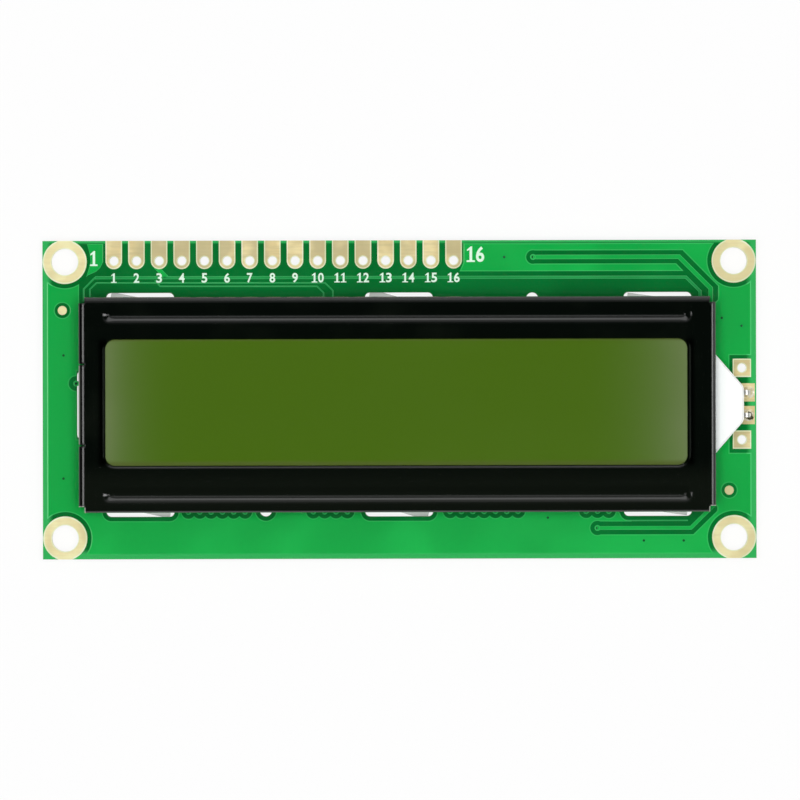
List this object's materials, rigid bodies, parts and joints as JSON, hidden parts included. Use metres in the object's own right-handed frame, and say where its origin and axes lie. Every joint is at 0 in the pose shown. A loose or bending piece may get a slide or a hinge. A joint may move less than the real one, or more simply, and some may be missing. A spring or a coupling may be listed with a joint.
{
  "type": "character display module",
  "caption": "Flat display module: green circuit board with a row of gold pads, black folded metal bezel around a wide olive window, and a white backlight nose at one end.",
  "frame": {"origin": "middle of the four mounting holes, on the back face of the circuit board", "axes": "+X along the board towards the backlight nose, +Y across it towards the header row, +Z out of the display"},
  "size_m": [0.08, 0.0358, 0.01],
  "materials": {
    "solder_mask": "green solder mask over copper, satin gloss",
    "gold_plate": "thin gold plate over copper, pale champagne",
    "black_steel": "black finish on folded steel sheet, satin",
    "display_film": "polarizing film over the olive cell, smooth",
    "clear_glass": "clear float glass",
    "cell_seal": "grey sealing resin",
    "rear_film": "grey transflective film",
    "contact_rubber": "silicone rubber with carbon layers",
    "white_housing": "white moulded plastic, satin",
    "white_film": "white film",
    "light_guide": "clear acrylic, dotted underside",
    "lamp": "moulded lamp body",
    "tinned_wire": "tinned wire, bright",
    "solder": "soft solder, bright",
    "potting_resin": "black potting resin, semi-gloss",
    "chip_resistor": "black glazed chip with tinned ends",
    "chip_capacitor": "tan ceramic chip with tinned ends"
  },
  "bodies": {
    "root": {"circuit_board": "solder_mask", "mounting_pads": "gold_plate", "header_pads": "gold_plate", "backlight_pads": "gold_plate", "bezel": "black_steel", "front_polarizer": "display_film", "front_glass": "clear_glass", "cell_seal": "cell_seal", "rear_glass": "clear_glass", "rear_polarizer": "rear_film", "contact_strip_upper": "contact_rubber", "contact_strip_lower": "contact_rubber", "backlight_housing": "white_housing", "diffuser_sheet": "white_film", "light_guide": "light_guide", "reflector_sheet": "white_film", "led_emitter": "lamp", "anode_lead": "tinned_wire", "anode_solder": "solder", "cathode_lead": "tinned_wire", "cathode_solder": "solder", "controller_blob": "potting_resin", "driver_blob": "potting_resin", "chip_resistor_1": "chip_resistor", "chip_resistor_2": "chip_resistor", "chip_resistor_3": "chip_resistor", "chip_resistor_4": "chip_resistor", "chip_resistor_5": "chip_resistor", "chip_resistor_6": "chip_resistor", "chip_resistor_7": "chip_resistor", "chip_capacitor_1": "chip_capacitor", "chip_capacitor_2": "chip_capacitor"}
  },
  "joints": []
}
